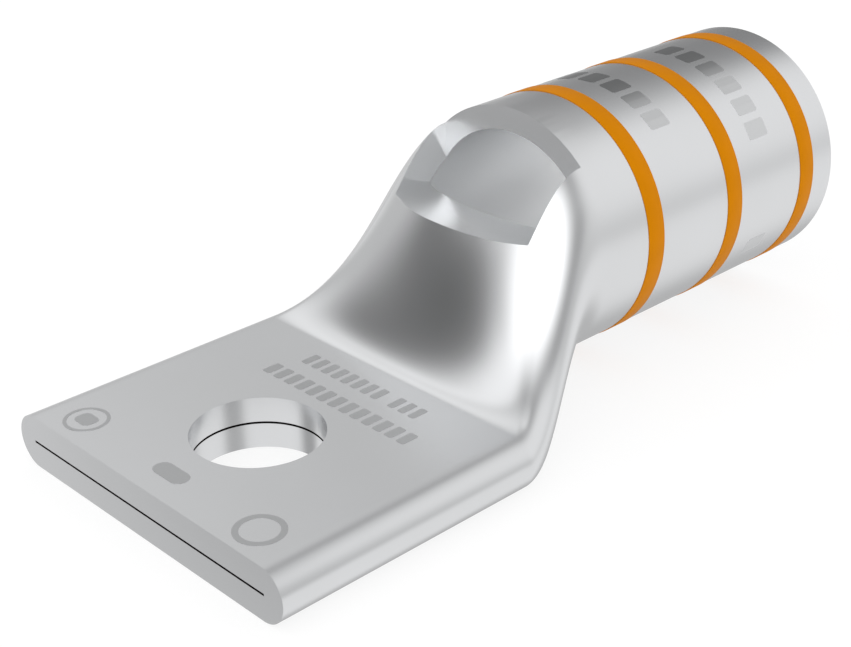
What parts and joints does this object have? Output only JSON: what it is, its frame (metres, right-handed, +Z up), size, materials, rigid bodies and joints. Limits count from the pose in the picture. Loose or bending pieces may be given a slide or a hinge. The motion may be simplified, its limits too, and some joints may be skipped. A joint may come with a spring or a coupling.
{
  "type": "copper cable lug",
  "caption": "Compression cable lug pressed from plated copper tube: flat pad with a stud hole, swept bend with an inspection window, round barrel with orange die code bands.",
  "frame": {"origin": "where the stud hole's axis meets the underside of the pad", "axes": "+X from the stud hole towards the cable entry, +Y across the pad, +Z up out of the pad's printed face"},
  "size_m": [0.0566, 0.0264, 0.0191],
  "materials": {
    "tinned_copper": "satin tin plating over copper, silvery grey",
    "orange_ink": "orange marking ink, satin"
  },
  "bodies": {
    "root": {"lug": "tinned_copper", "colour_bands": "orange_ink"}
  },
  "joints": []
}
